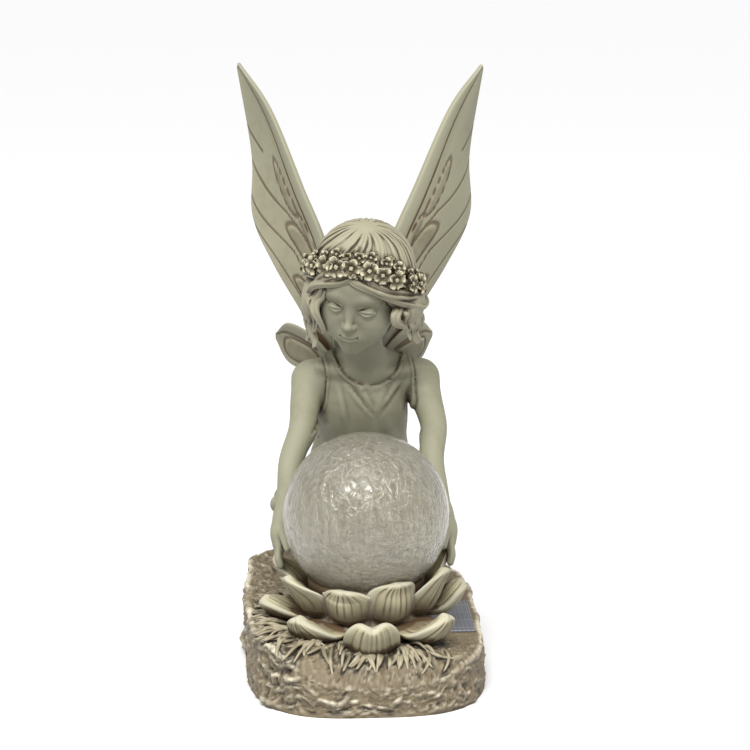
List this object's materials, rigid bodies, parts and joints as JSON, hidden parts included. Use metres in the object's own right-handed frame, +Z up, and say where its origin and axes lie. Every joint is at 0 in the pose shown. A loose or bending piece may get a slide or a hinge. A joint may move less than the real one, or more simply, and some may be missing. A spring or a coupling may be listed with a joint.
{
  "type": "solar fairy garden statue",
  "caption": "Garden statue of a kneeling winged girl whose hands rest on a lotus that holds a crackle-glass globe lit by a solar panel in the base.",
  "frame": {"origin": "middle of the flat underside of the base", "axes": "+Z up to the wing tips, -Y to the front where the globe is, +X to the side of the solar panel"},
  "size_m": [0.1575, 0.2289, 0.357],
  "materials": {
    "resin": "matte antique wash",
    "wing_resin": "matte antique wash",
    "crackle_glass": "crackled",
    "lamp_plastic": "satin",
    "solar_cell": "gloss"
  },
  "bodies": {
    "root": {"statue": "resin", "wing_left": "wing_resin", "wing_right": "wing_resin", "globe": "crackle_glass", "lamp_holder": "lamp_plastic", "solar_panel": "solar_cell"}
  },
  "joints": []
}
